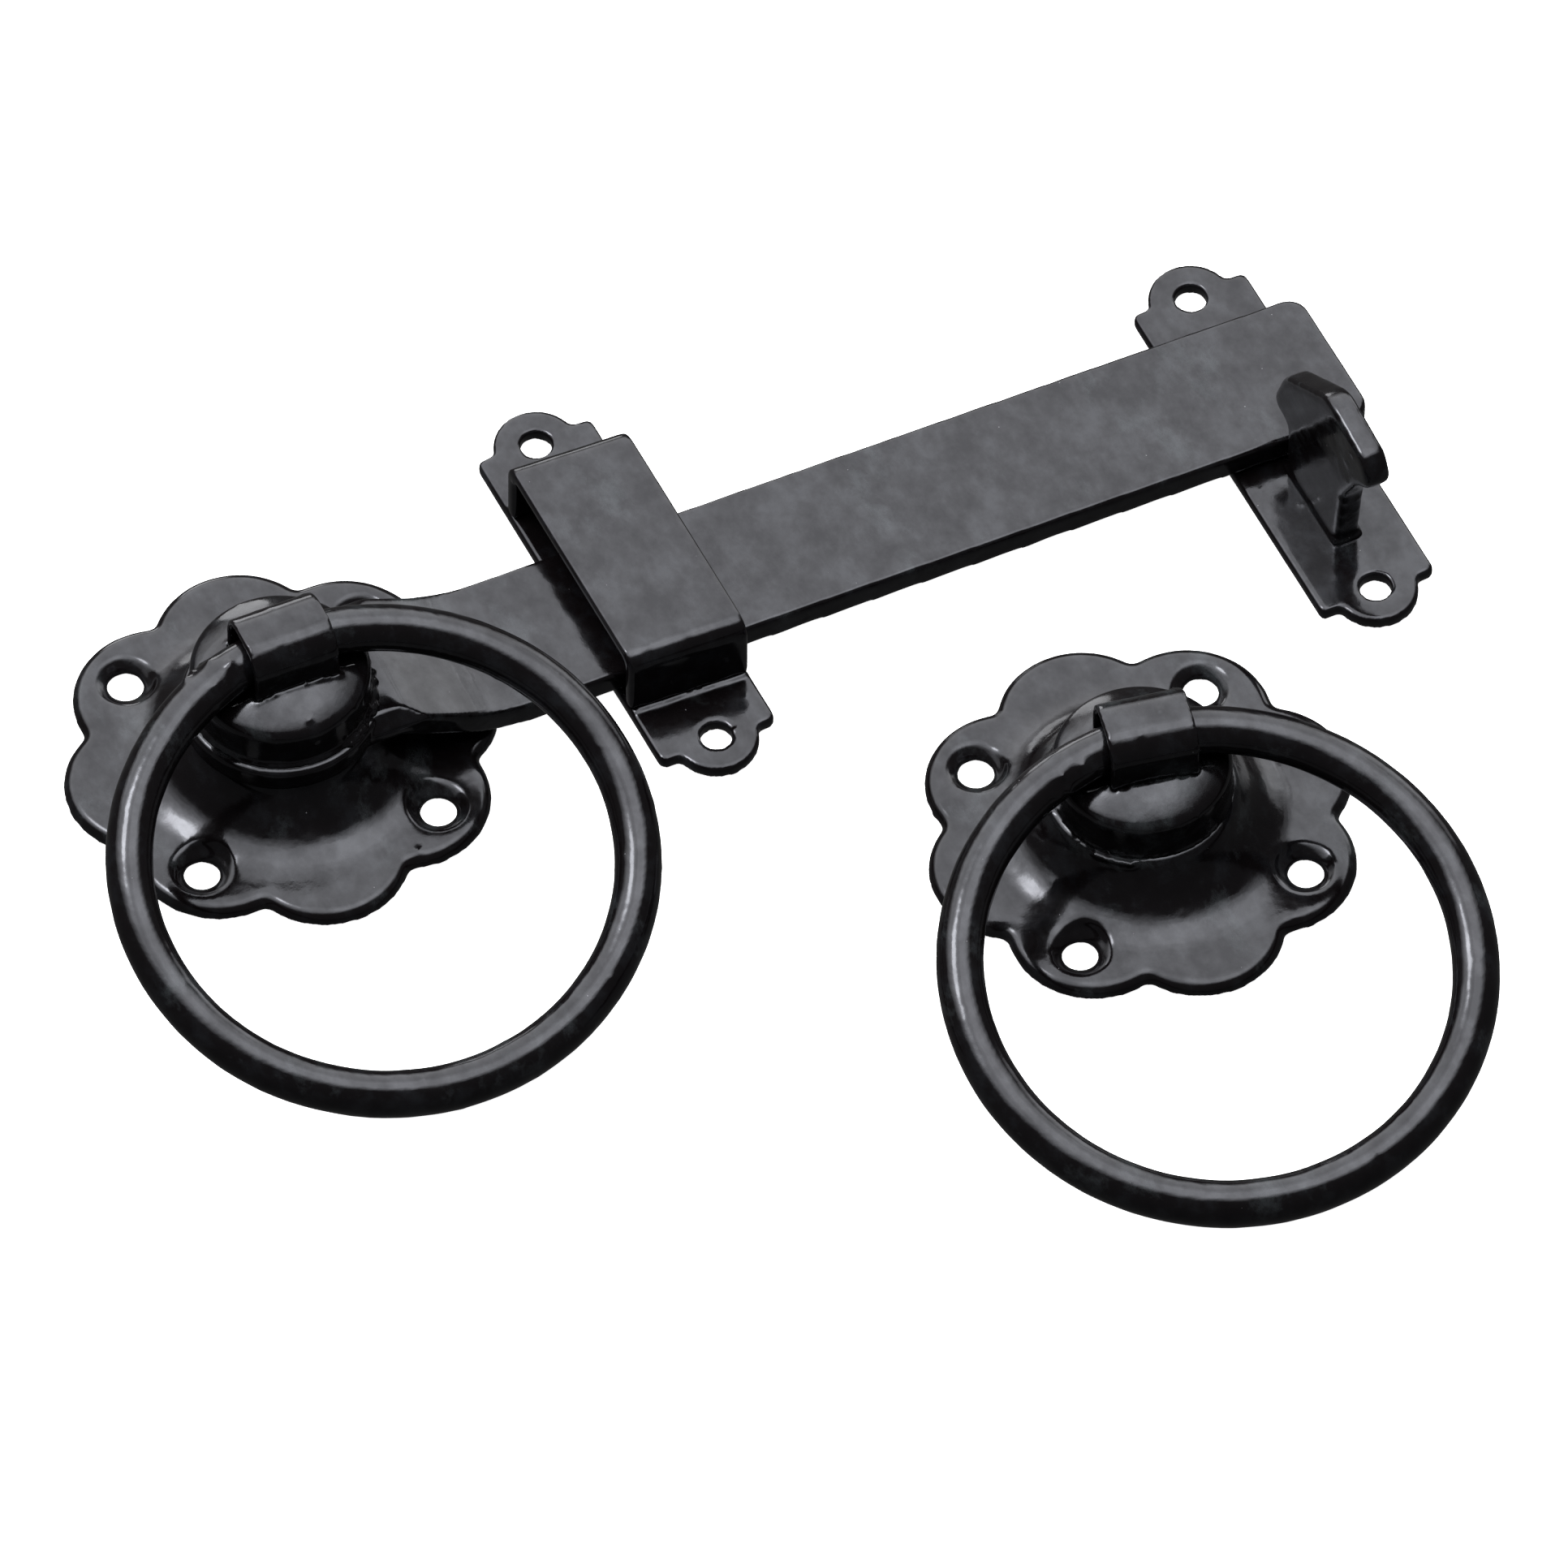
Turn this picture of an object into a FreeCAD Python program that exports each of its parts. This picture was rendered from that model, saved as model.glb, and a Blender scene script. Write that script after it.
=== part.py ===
"""Ring handle gate latch set: latch bar with its ring handle, guide, keep and second ring handle.

All four groups lie face up on the plane z = 0, as they are screwed to a gate and its post.
The origin is where the axis of the first handle's spindle meets that plane. +X points along
the guide and the keep towards the bar's free end, +Z points out of the gate's face, and the
rings hang towards -Y. Millimetres throughout.
"""
import FreeCAD, Part
import math
import os

V = FreeCAD.Vector
Z_AXIS = V(0, 0, 1)
X_AXIS = V(1, 0, 0)
ORIGIN = V(0, 0, 0)

# ---------------------------------------------------------------- driving dimensions
# Pressed roses (one under each handle)
ROSE_SHEET = 2.0            # thickness of the pressed sheet
ROSE_HEIGHT = 2.6           # top of the flat flange above the gate's face
ROSE_LOBES = 8
LOBE_CENTRE_R = 23.7        # from the spindle axis to the centre of a lobe's arc
LOBE_ARC_R = 14.8
LOBE_HOLLOW_R = 1.6         # rounding in the hollow between two lobes
ROSE_RIM_ROUND = 2.2
ROSE_RIM_WIDTH = 2.4        # turned-down rim that bears on the gate
DOME_TOP = 11.8
DOME_TOP_R = 16.3
DOME_TOP_ROUND = 1.6
DOME_FOOT_R = 21.0          # where the flank would meet the flange without rounding
DOME_FOOT_ROUND = 16.5      # on the hollow side of the sheet
DOME_JOIN_R = 30.2          # where the turned dome is joined to the flat flange
SCREW_CIRCLE_R = 30.0
SCREW_COUNT = 4
SCREW_HOLE_R = 3.0
SCREW_DISH_R = 5.3          # mouth of the dished seat for a countersunk screw
SCREW_LAND = 1.0            # straight wall left below the dish
SCREW_PAD_R = 6.3

# Handles: a round boss that turns in its rose, with a shank and a square socket
HANDLE_1_TURN = -2.56       # degrees: the bar droops on to the keep
HANDLE_2_AT = (124.6, -79.2)
HANDLE_2_TURN = -12.0
ROSE_1_TURN = -52.7         # degrees from +X to the first screw hole
ROSE_2_TURN = -47.0
BOSS_R = 15.5
BOSS_HEIGHT = 8.7           # to the floor of the groove that the ring lies in
BOSS_CROWN_R = 30.0         # spherical top
BOSS_CROWN_RISE = 3.37      # top of the sphere above the groove's floor
BOSS_ROUND = 1.9
SHANK_R = 7.8
SHANK_END = 3.2             # height of the shank's lower end
SHANK_KEY = 15.6            # across the flats of the square that carries the bar
SHANK_CLEARANCE = 0.05      # radial running clearance in the rose
TURN_GAP = 0.1              # axial play between turning and fixed faces
SOCKET_SIDE = 8.2           # for an 8 mm square spindle bar
SOCKET_TOP = 17.0
CLIP_GROOVE_R = 7.0
CLIP_GROOVE_Z = 7.3
CLIP_GROOVE_WIDTH = 1.1
CLIP_THICK = 1.0
CLIP_R = 9.6
CLIP_FIT = 0.05
CLIP_MOUTH = 3.4            # width of the clip's open side
CLIP_LUG_R = 2.0
CLIP_LUG_AT = (3.4, 10.0)
CLIP_LUG_HOLE_R = 0.8
WASHER_R = 13.0
WASHER_THICK = 1.2
WASHER_FIT = 0.25

# Strap folded over the ring, its legs let into the boss
STRAP_SHEET = 1.5
STRAP_LENGTH = 15.5
STRAP_SHIFT = (0.4, -0.6)   # centre of the strap from the spindle axis
STRAP_HALF_GAP = 5.2        # half the clear width inside
STRAP_HEAD = 5.3            # clear height above the ring's swing axis
STRAP_BEND = 5.0            # outside radius of the two bends
TENON_DEPTH = 2.5
TENON_LENGTH = 12.0

# Rings of round bar
RING_BAR_R = 4.1
RING_LIFT = 4.9             # swing axis above the boss's top
RING_SKEW = 2.85            # degrees that the ring sits out of line in its strap
RING_SAG = 0.35             # swing axis inside the bar's outermost point
RING_1_HALF = (43.9, 41.9)  # half the centreline's width across and along the hang
RING_2_HALF = (43.95, 43.5)

# Latch bar
BAR_THICK = 4.7
BAR_WIDTH = 28.1
BAR_OFFSET = 0.65           # centreline of the bar from the spindle axis
BAR_END = 199.2
BAR_END_SKEW = 2.6          # degrees that the free end is cut out of square
BAR_CORNER = 3.6
BAR_BOTTOM = 3.3            # underside of the long straight part
BAR_EDGE_ROUND = 0.7
EYE_R = 17.2
EYE_EDGE_ROUND = 1.0
STEP_START = 17.9           # where the upper face turns down towards the guide
STEP_ANGLE = 26.6
STEP_BEND_TOP = 7.0
STEP_BEND_FOOT = 29.0
SHOULDER_DROP = 2.1         # worked-down edges beside the eye
SHOULDER_WIDTH = 2.9
SHOULDER_END = 40.0         # the wedge cut runs out on the step before this

# Screw plates of the guide and the keep
PLATE_THICK = 2.5
PLATE_WIDTH = 22.0
PLATE_HOLE_SPACING = 70.0
PLATE_HOLE_R = 2.75
PLATE_SHOULDER = 36.2       # from the plate's centre to its square shoulders
PLATE_CORNER = 1.5
PLATE_LOBE_R = 7.4
PLATE_NOTCH_R = 1.3
PLATE_EDGE_ROUND = 0.5
GUIDE_AT = (67.45, 3.7)
KEEP_AT = (183.3, -17.8)

# Bridge of the guide
BRIDGE_NEAR = -21.1         # outside faces of its two walls, on the plate's centreline
BRIDGE_FAR = 27.1
BRIDGE_SKEW = -4.1          # degrees that its bends lie out of square with the plate
BRIDGE_TOP = 16.0
BRIDGE_SHEET = 2.5
BRIDGE_BEND = 3.2           # outside radius of the bends

# Hook of the keep
HOOK_THICK = 4.8
HOOK_X = 181.2              # face of the hook nearest the handle
HOOK_EDGE_ROUND = 0.9
HOOK_PROFILE = (            # (y, height, rounding) of each corner, from the back of the stem
    (-41.6, PLATE_THICK, 0),
    (-43.2, 17.5, 6.0),
    (-47.2, 25.2, 8.0),
    (-51.4, 29.0, 1.2),
    (-52.6, 31.2, 2.6),
    (-50.2, 35.6, 4.0),
    (-36.5, 37.6, 7.0),
    (-20.6, 25.2, 9.0),
    (-17.4, 16.4, 2.2),
    (-18.6, 14.4, 1.0),
    (-22.6, 14.2, 1.6),
    (-22.8, PLATE_THICK, 0),
)


# ---------------------------------------------------------------- helpers
def at(shape, x=0.0, y=0.0, z=0.0, turn=0.0):
    """Turn a shape about the vertical through the origin, then move it."""
    placed = shape.copy()
    placed.rotate(ORIGIN, Z_AXIS, turn)
    placed.translate(V(x, y, z))
    return placed


def plan(x, y):
    return V(x, y, 0)


def rounded_wire(corners, plane=plan):
    """Closed wire through (x, y, radius) corners, each rounded by a tangent arc."""
    edges = []
    ends = []
    count = len(corners)
    for i in range(count):
        x, y, radius = corners[i]
        here = V(x, y, 0)
        back = V(*corners[i - 1][:2], 0) - here
        ahead = V(*corners[(i + 1) % count][:2], 0) - here
        back.normalize()
        ahead.normalize()
        if radius == 0:
            ends.append((here, here, here))
            continue
        half = back.getAngle(ahead) / 2
        reach = radius / math.tan(half)
        inward = back + ahead
        inward.normalize()
        centre = here + inward * (radius / math.sin(half))
        middle = centre - inward * radius
        ends.append((here + back * reach, middle, here + ahead * reach))
    for i in range(count):
        start, middle, stop = ends[i]
        following = ends[(i + 1) % count][0]
        if (stop - start).Length > 1e-6:
            edges.append(Part.Arc(plane(*start[:2]), plane(*middle[:2]), plane(*stop[:2])).toShape())
        if (following - stop).Length > 1e-6:
            edges.append(Part.LineSegment(plane(*stop[:2]), plane(*following[:2])).toShape())
    return Part.Wire(edges)


def prism(wire, direction):
    return Part.Face(wire).extrude(direction)


def cylinder(radius, low, high, x=0.0, y=0.0):
    return Part.makeCylinder(radius, high - low, V(x, y, low), Z_AXIS)


def square_bar(side, low, high):
    return Part.makeBox(side, side, high - low, V(-side / 2, -side / 2, low))


def turned(profile):
    """Solid of revolution about Z from (radius, height, rounding) corners."""
    wire = rounded_wire(profile, lambda r, z: V(r, 0, z))
    return Part.Face(wire).revolve(ORIGIN, Z_AXIS, 360)


def edges_where(shape, test):
    return [edge for edge in shape.Edges if test(edge)]


def level_edges(shape, height):
    """Edges that lie wholly at one height."""
    return edges_where(shape, lambda e: abs(e.BoundBox.ZMin - height) < 1e-4
                       and abs(e.BoundBox.ZMax - height) < 1e-4)


# ---------------------------------------------------------------- roses
def rose_outline(inset, height):
    """Scalloped outline: a ring of arcs joined by small arcs in the hollows."""
    step = 2 * math.pi / ROSE_LOBES
    lobe_r = LOBE_ARC_R - inset
    hollow_r = LOBE_HOLLOW_R + inset
    across = LOBE_CENTRE_R * math.sin(step / 2)
    along = LOBE_CENTRE_R * math.cos(step / 2)
    hollow_at = along + math.sqrt((lobe_r + hollow_r) ** 2 - across ** 2)
    edges = []
    for k in range(ROSE_LOBES):
        lobe_dir = k * step
        lobe = V(LOBE_CENTRE_R * math.cos(lobe_dir), LOBE_CENTRE_R * math.sin(lobe_dir), height)
        hollows = []
        for side in (-1, 1):
            a = lobe_dir + side * step / 2
            hollows.append(V(hollow_at * math.cos(a), hollow_at * math.sin(a), height))
        touches = [lobe + (hollow - lobe) * (lobe_r / (lobe_r + hollow_r)) for hollow in hollows]
        outermost = lobe + V(math.cos(lobe_dir), math.sin(lobe_dir), 0) * lobe_r
        edges.append(Part.Arc(touches[0], outermost, touches[1]).toShape())
        hollow = hollows[1]
        innermost = hollow * ((hollow_at - hollow_r) / hollow_at)
        innermost.z = height
        next_lobe = V(LOBE_CENTRE_R * math.cos(lobe_dir + step),
                      LOBE_CENTRE_R * math.sin(lobe_dir + step), height)
        next_touch = next_lobe + (hollow - next_lobe) * (lobe_r / (lobe_r + hollow_r))
        edges.append(Part.Arc(touches[1], innermost, next_touch).toShape())
    return Part.Wire(edges)


def screw_places():
    for k in range(SCREW_COUNT):
        a = 2 * math.pi * k / SCREW_COUNT
        yield SCREW_CIRCLE_R * math.cos(a), SCREW_CIRCLE_R * math.sin(a)


def make_rose():
    """Pressed rose: flange with turned-down rim, hollow bell-shaped dome, dished screw seats."""
    under = ROSE_HEIGHT - ROSE_SHEET
    flange = prism(rose_outline(0, 0), V(0, 0, ROSE_HEIGHT))
    flange = flange.makeFillet(ROSE_RIM_ROUND, level_edges(flange, ROSE_HEIGHT))
    flange = flange.cut(cylinder(DOME_JOIN_R, -1, ROSE_HEIGHT + 1))
    hole_r = SHANK_R + SHANK_CLEARANCE
    slope = math.atan2(DOME_TOP - ROSE_HEIGHT, DOME_FOOT_R - DOME_TOP_R)
    shift = ROSE_SHEET * math.tan(slope / 2)
    dome = turned([
        (hole_r, DOME_TOP, 0),
        (DOME_TOP_R, DOME_TOP, DOME_TOP_ROUND),
        (DOME_FOOT_R, ROSE_HEIGHT, DOME_FOOT_ROUND - ROSE_SHEET),
        (DOME_JOIN_R, ROSE_HEIGHT, 0),
        (DOME_JOIN_R, 0, 0),
        (hole_r, 0, 0),
    ])
    hollow = turned([
        (hole_r - 1, DOME_TOP - ROSE_SHEET, 0),
        (DOME_TOP_R - shift, DOME_TOP - ROSE_SHEET, 0),
        (DOME_FOOT_R - shift, under, DOME_FOOT_ROUND),
        (DOME_JOIN_R, under, 0),
        (DOME_JOIN_R, -1, 0),
        (hole_r - 1, -1, 0),
    ])
    recess = prism(rose_outline(ROSE_RIM_WIDTH, -1), V(0, 0, under + 1))
    recess = recess.cut(cylinder(DOME_JOIN_R, -2, under + 1)).fuse(hollow)
    for x, y in screw_places():
        recess = recess.cut(cylinder(SCREW_PAD_R, -2, ROSE_HEIGHT, x, y))
    rose = flange.fuse(dome).removeSplitter().cut(recess)
    for x, y in screw_places():
        seat_foot = V(x, y, SCREW_LAND)
        seat = Part.makeCone(SCREW_HOLE_R, SCREW_DISH_R, ROSE_HEIGHT - SCREW_LAND, seat_foot, Z_AXIS)
        mouth = cylinder(SCREW_DISH_R, ROSE_HEIGHT, DOME_TOP, x, y)
        rose = rose.cut(cylinder(SCREW_HOLE_R, -1, ROSE_HEIGHT, x, y).fuse(seat).fuse(mouth))
    return rose.removeSplitter()


# ---------------------------------------------------------------- handles
def make_boss(base, keyed, socket_turn):
    """Turned boss with its shank. base is the height of the boss's underside."""
    top = base + BOSS_HEIGHT
    crown_top = top + BOSS_CROWN_RISE
    crown = Part.makeSphere(BOSS_CROWN_R, V(0, 0, crown_top - BOSS_CROWN_R))
    body = cylinder(BOSS_R, base, crown_top).common(crown)
    rim = edges_where(body, lambda e: e.BoundBox.ZMin > base + 1 and e.BoundBox.XLength > BOSS_R)
    body = body.makeFillet(BOSS_ROUND, rim)
    ring_bed = Part.makeBox(4 * BOSS_R, 2 * STRAP_HALF_GAP, BOSS_HEIGHT,
                            V(-2 * BOSS_R, STRAP_SHIFT[1] - STRAP_HALF_GAP, top))
    shank = cylinder(SHANK_R, SHANK_END, base)
    if keyed:
        shank = shank.fuse(square_bar(SHANK_KEY, base - BAR_THICK, base))
    groove = cylinder(SHANK_R + 1, CLIP_GROOVE_Z, CLIP_GROOVE_Z + CLIP_GROOVE_WIDTH)
    groove = groove.cut(cylinder(CLIP_GROOVE_R, CLIP_GROOVE_Z, CLIP_GROOVE_Z + CLIP_GROOVE_WIDTH))
    boss = body.fuse(shank).removeSplitter().cut(groove)
    boss = boss.cut(at(square_bar(SOCKET_SIDE, SHANK_END - 1, SOCKET_TOP), turn=socket_turn))
    return boss.cut(ring_bed).cut(make_strap(top))


def strap_tenon(side, top):
    y = STRAP_SHIFT[1] + side * (STRAP_HALF_GAP + STRAP_SHEET / 2)
    corner = V(STRAP_SHIFT[0] - TENON_LENGTH / 2, y - STRAP_SHEET / 2, top - TENON_DEPTH)
    return Part.makeBox(TENON_LENGTH, STRAP_SHEET, TENON_DEPTH, corner)


def make_strap(boss_top):
    """Strip folded over the ring, with a tenon on each leg."""
    outer = STRAP_HALF_GAP + STRAP_SHEET
    head = RING_LIFT + STRAP_HEAD
    corners = [
        (-outer, 0, 0),
        (-outer, head + STRAP_SHEET, STRAP_BEND),
        (outer, head + STRAP_SHEET, STRAP_BEND),
        (outer, 0, 0),
        (STRAP_HALF_GAP, 0, 0),
        (STRAP_HALF_GAP, head, STRAP_BEND - STRAP_SHEET),
        (-STRAP_HALF_GAP, head, STRAP_BEND - STRAP_SHEET),
        (-STRAP_HALF_GAP, 0, 0),
    ]
    end_x = STRAP_SHIFT[0] - STRAP_LENGTH / 2
    wire = rounded_wire(corners, lambda y, z: V(end_x, STRAP_SHIFT[1] + y, boss_top + z))
    strap = prism(wire, X_AXIS * STRAP_LENGTH)
    for side in (-1, 1):
        strap = strap.fuse(strap_tenon(side, boss_top))
    return strap.removeSplitter()


def oval_wire(across, along):
    """Ring centreline: four tangent arcs that make a slightly oval ring."""
    k = (across - along) / (2 - math.sqrt(2))
    end_r = across - k
    side_r = along + k
    d = math.sqrt(0.5)
    joints = [V(k + end_r * d, end_r * d, 0), V(-k - end_r * d, end_r * d, 0),
              V(-k - end_r * d, -end_r * d, 0), V(k + end_r * d, -end_r * d, 0)]
    tops = [V(0, side_r - k, 0), V(-k - end_r, 0, 0), V(0, k - side_r, 0), V(k + end_r, 0, 0)]
    arcs = [Part.Arc(joints[i], tops[i], joints[(i + 1) % 4]).toShape() for i in range(4)]
    return Part.Wire(arcs)


def make_ring(half_widths, boss_top):
    """Ring of round bar, hanging from its strap and resting on the gate's face."""
    across, along = half_widths
    path = oval_wire(across, along)
    start = path.Edges[0].valueAt(path.Edges[0].FirstParameter)
    tangent = path.Edges[0].tangentAt(path.Edges[0].FirstParameter)
    section = Part.Wire([Part.makeCircle(RING_BAR_R, start, tangent)])
    ring = path.makePipeShell([section], True, False)
    reach = 2 * along - RING_SAG
    axis_height = boss_top + RING_LIFT
    tilt = math.degrees(math.asin((axis_height - RING_BAR_R) / reach))
    ring.translate(V(0, RING_SAG - along, 0))
    ring.rotate(ORIGIN, X_AXIS, tilt)
    return at(ring, 0, STRAP_SHIFT[1], axis_height, RING_SKEW)


def make_washer():
    """Plain washer inside the dome, under its top."""
    top = DOME_TOP - ROSE_SHEET - TURN_GAP
    ring = cylinder(WASHER_R, top - WASHER_THICK, top)
    return ring.cut(cylinder(SHANK_R + WASHER_FIT, top - WASHER_THICK - 1, top + 1))


def make_clip():
    """Spring clip snapped into the shank's groove: open ring with two lugs."""
    low = CLIP_GROOVE_Z + (CLIP_GROOVE_WIDTH - CLIP_THICK) / 2
    high = low + CLIP_THICK
    lug_x, lug_y = CLIP_LUG_AT
    clip = cylinder(CLIP_R, low, high)
    for side in (-1, 1):
        clip = clip.fuse(cylinder(CLIP_LUG_R, low, high, side * lug_x, lug_y))
    clip = clip.cut(cylinder(CLIP_GROOVE_R + CLIP_FIT, low - 1, high + 1))
    mouth_corner = V(-CLIP_MOUTH / 2, CLIP_GROOVE_R / 2, low - 1)
    clip = clip.cut(Part.makeBox(CLIP_MOUTH, CLIP_R, CLIP_THICK + 2, mouth_corner))
    for side in (-1, 1):
        clip = clip.cut(cylinder(CLIP_LUG_HOLE_R, low - 1, high + 1, side * lug_x, lug_y))
    return clip


# ---------------------------------------------------------------- latch bar
def make_bar(eye_bottom):
    """Flat bar stepped up to an eye that is keyed on the first handle's shank."""
    eye_top = eye_bottom + BAR_THICK
    bar_top = BAR_BOTTOM + BAR_THICK
    angle = math.radians(STEP_ANGLE)
    foot = STEP_START + (eye_top - bar_top) / math.tan(angle)
    lag = BAR_THICK * math.tan(angle / 2)
    side = [
        (0, eye_top, 0),
        (STEP_START, eye_top, STEP_BEND_TOP),
        (foot, bar_top, STEP_BEND_FOOT),
        (BAR_END, bar_top, 0),
        (BAR_END, BAR_BOTTOM, 0),
        (foot - lag, BAR_BOTTOM, STEP_BEND_FOOT + BAR_THICK),
        (STEP_START - lag, eye_bottom, STEP_BEND_TOP - BAR_THICK),
        (0, eye_bottom, 0),
    ]
    near = BAR_OFFSET - BAR_WIDTH / 2
    far = BAR_OFFSET + BAR_WIDTH / 2
    strip = prism(rounded_wire(side, lambda x, z: V(x, near, z)), V(0, BAR_WIDTH, 0))
    skew = BAR_WIDTH / 2 * math.tan(math.radians(BAR_END_SKEW))
    outline = rounded_wire([
        (-1, near, 0),
        (BAR_END, near, BAR_CORNER),
        (BAR_END - 2 * skew, far, BAR_CORNER),
        (-1, far, 0),
    ])
    strip = strip.common(prism(outline, V(0, 0, 2 * eye_top)))
    rise = SHOULDER_DROP / SHOULDER_WIDTH
    for edge_y, inward in ((near, 1), (far, -1)):
        # sloping cut from one millimetre outside the edge to well inside the upper face
        low = eye_top - SHOULDER_DROP - rise
        reach = 2 * SHOULDER_WIDTH + 1
        outside = edge_y - inward
        inside = outside + inward * reach
        wedge = [V(-1, outside, low), V(-1, inside, low + reach * rise), V(-1, outside, low + reach * rise)]
        face = Part.Face(Part.makePolygon(wedge + wedge[:1]))
        strip = strip.cut(face.extrude(X_AXIS * SHOULDER_END))
    long_edges = edges_where(strip, lambda e: e.BoundBox.XLength > BAR_END / 2
                             and e.BoundBox.ZMin > BAR_BOTTOM + 1)
    strip = strip.makeFillet(BAR_EDGE_ROUND, long_edges)
    eye = cylinder(EYE_R, eye_bottom, eye_top)
    eye = eye.makeFillet(EYE_EDGE_ROUND, level_edges(eye, eye_top))
    bar = strip.fuse(eye).removeSplitter()
    return bar.cut(square_bar(SHANK_KEY, eye_bottom - 1, eye_top + 1))


# ---------------------------------------------------------------- guide and keep
def make_plate():
    """Strip with two square shoulders and a round lobe about each screw hole."""
    half = PLATE_WIDTH / 2
    hole_y = PLATE_HOLE_SPACING / 2
    body = rounded_wire([(half, -PLATE_SHOULDER, PLATE_CORNER), (half, PLATE_SHOULDER, PLATE_CORNER),
                         (-half, PLATE_SHOULDER, PLATE_CORNER), (-half, -PLATE_SHOULDER, PLATE_CORNER)])
    plate = prism(body, V(0, 0, PLATE_THICK))
    for end in (-1, 1):
        plate = plate.fuse(cylinder(PLATE_LOBE_R, 0, PLATE_THICK, 0, end * hole_y))
    plate = plate.removeSplitter()
    notches = edges_where(plate, lambda e: e.BoundBox.ZLength > PLATE_THICK - 1e-4
                          and abs(abs(e.BoundBox.YMin) - PLATE_SHOULDER) < 1e-3
                          and abs(e.BoundBox.XMin) < PLATE_LOBE_R)
    plate = plate.makeFillet(PLATE_NOTCH_R, notches)
    plate = plate.makeFillet(PLATE_EDGE_ROUND, level_edges(plate, PLATE_THICK))
    for end in (-1, 1):
        plate = plate.cut(cylinder(PLATE_HOLE_R, -1, PLATE_THICK + 1, 0, end * hole_y))
    return plate


def make_bridge():
    """Strip bent to a staple that stands on the guide's plate and holds the bar in."""
    low = PLATE_THICK
    inner = BRIDGE_BEND - BRIDGE_SHEET
    corners = [
        (BRIDGE_NEAR, low, 0),
        (BRIDGE_NEAR, BRIDGE_TOP, BRIDGE_BEND),
        (BRIDGE_FAR, BRIDGE_TOP, BRIDGE_BEND),
        (BRIDGE_FAR, low, 0),
        (BRIDGE_FAR - BRIDGE_SHEET, low, 0),
        (BRIDGE_FAR - BRIDGE_SHEET, BRIDGE_TOP - BRIDGE_SHEET, inner),
        (BRIDGE_NEAR + BRIDGE_SHEET, BRIDGE_TOP - BRIDGE_SHEET, inner),
        (BRIDGE_NEAR + BRIDGE_SHEET, low, 0),
    ]
    half = PLATE_WIDTH / 2
    profile = Part.Face(rounded_wire(corners, lambda y, z: V(-PLATE_WIDTH, y, z)))
    strip = at(profile.extrude(X_AXIS * 2 * PLATE_WIDTH), turn=BRIDGE_SKEW)
    blank = Part.makeBox(PLATE_WIDTH, 4 * BRIDGE_FAR, BRIDGE_TOP, V(-half, -2 * BRIDGE_FAR, 0))
    return at(strip.common(blank), GUIDE_AT[0])


def make_hook():
    """Upright hook: the bar rides up its slope and drops behind its tip."""
    hook = prism(rounded_wire(HOOK_PROFILE, lambda y, z: V(HOOK_X, y, z)), X_AXIS * HOOK_THICK)
    rims = edges_where(hook, lambda e: e.BoundBox.XLength < 1e-4 and e.BoundBox.ZMax > PLATE_THICK + 1)
    return hook.makeFillet(HOOK_EDGE_ROUND, rims)


# ---------------------------------------------------------------- assembly
EYE_BOTTOM = DOME_TOP + TURN_GAP
BOSS_1_BASE = EYE_BOTTOM + BAR_THICK
BOSS_2_BASE = DOME_TOP + TURN_GAP

parts = {
    "rose_1": at(make_rose(), turn=ROSE_1_TURN),
    "rose_2": at(make_rose(), *HANDLE_2_AT, turn=ROSE_2_TURN),
    "guide_plate": at(make_plate(), *GUIDE_AT),
    "guide_bridge": make_bridge(),
    "keep_plate": at(make_plate(), *KEEP_AT),
    "keep_hook": make_hook(),
    "latch_bar": at(make_bar(EYE_BOTTOM), turn=HANDLE_1_TURN),
}

handles = (
    ("1", (0.0, 0.0), HANDLE_1_TURN, BOSS_1_BASE, True, RING_1_HALF),
    ("2", HANDLE_2_AT, HANDLE_2_TURN, BOSS_2_BASE, False, RING_2_HALF),
)
for label, (px, py), turn, base, keyed, ring_half in handles:
    boss_top = base + BOSS_HEIGHT
    parts["handle_boss_" + label] = at(make_boss(base, keyed, -turn), px, py, turn=turn)
    parts["ring_strap_" + label] = at(make_strap(boss_top), px, py, turn=turn)
    parts["ring_" + label] = at(make_ring(ring_half, boss_top), px, py, turn=turn)
    parts["back_washer_" + label] = at(make_washer(), px, py)
    parts["spring_clip_" + label] = at(make_clip(), px, py, turn=turn)

os.makedirs("parts", exist_ok=True)
for name, shape in parts.items():
    shape.exportStep("parts/" + name + ".step")
    box = shape.BoundBox
    print(f"{name:16s} solids {len(shape.Solids)} valid {shape.isValid()} volume {shape.Volume:9.1f}"
          f"  x {box.XMin:7.2f} {box.XMax:7.2f}  y {box.YMin:7.2f} {box.YMax:7.2f}"
          f"  z {box.ZMin:6.2f} {box.ZMax:6.2f}")
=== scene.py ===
"""Ring handle gate latch: looks of the dip-painted black set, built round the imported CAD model."""

import math
import random

import bmesh
import bpy
from mathutils import Matrix, Vector, noise


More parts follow.
